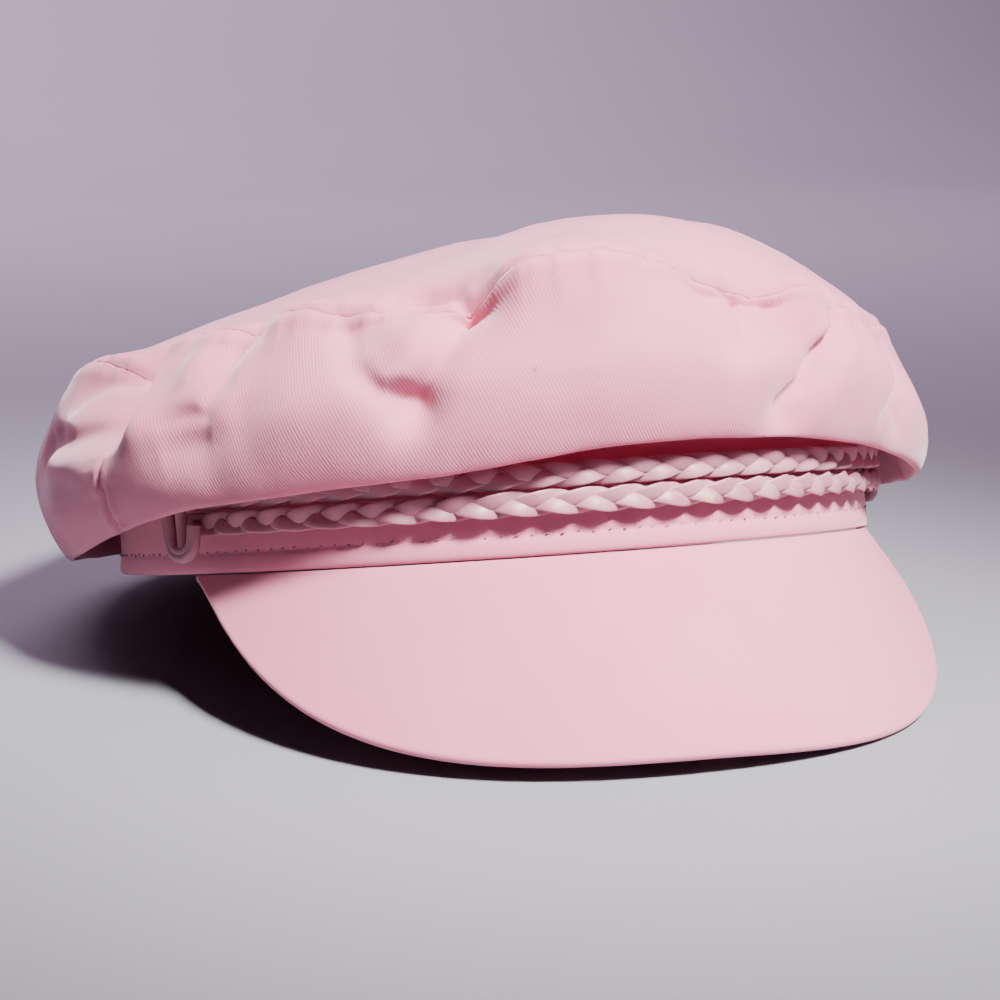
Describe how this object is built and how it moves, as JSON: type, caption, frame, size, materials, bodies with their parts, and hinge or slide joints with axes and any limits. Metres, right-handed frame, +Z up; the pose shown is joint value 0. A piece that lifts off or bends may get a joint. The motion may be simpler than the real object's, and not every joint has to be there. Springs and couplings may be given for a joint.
{
  "type": "breton fisherman cap",
  "caption": "Soft pink twill cap with a sagging crown, a plain head band, a stiff curved peak and two plaited cords above it, tied off in a small knot at each end.",
  "frame": {"origin": "middle of the outline's lowest level, on the surface that the cap rests on", "axes": "+Z up from the surface, the peak towards -Y, the wearer's left at +X"},
  "size_m": [0.2202, 0.244, 0.1071],
  "materials": {
    "crown_twill": "matt washed cotton twill, pale pink, fine steep diagonal weave",
    "band_twill": "matt cotton twill pressed flat, pale pink, one row of pink stitches",
    "plait_leather": "smooth pale pink leather strands, soft sheen, plaited"
  },
  "bodies": {
    "root": {"crown_top": "crown_twill", "crown_front": "crown_twill", "crown_back": "crown_twill", "head_band": "band_twill", "peak": "band_twill", "braid_upper": "plait_leather", "braid_lower": "plait_leather", "knot_right": "plait_leather", "knot_left": "plait_leather"}
  },
  "joints": []
}
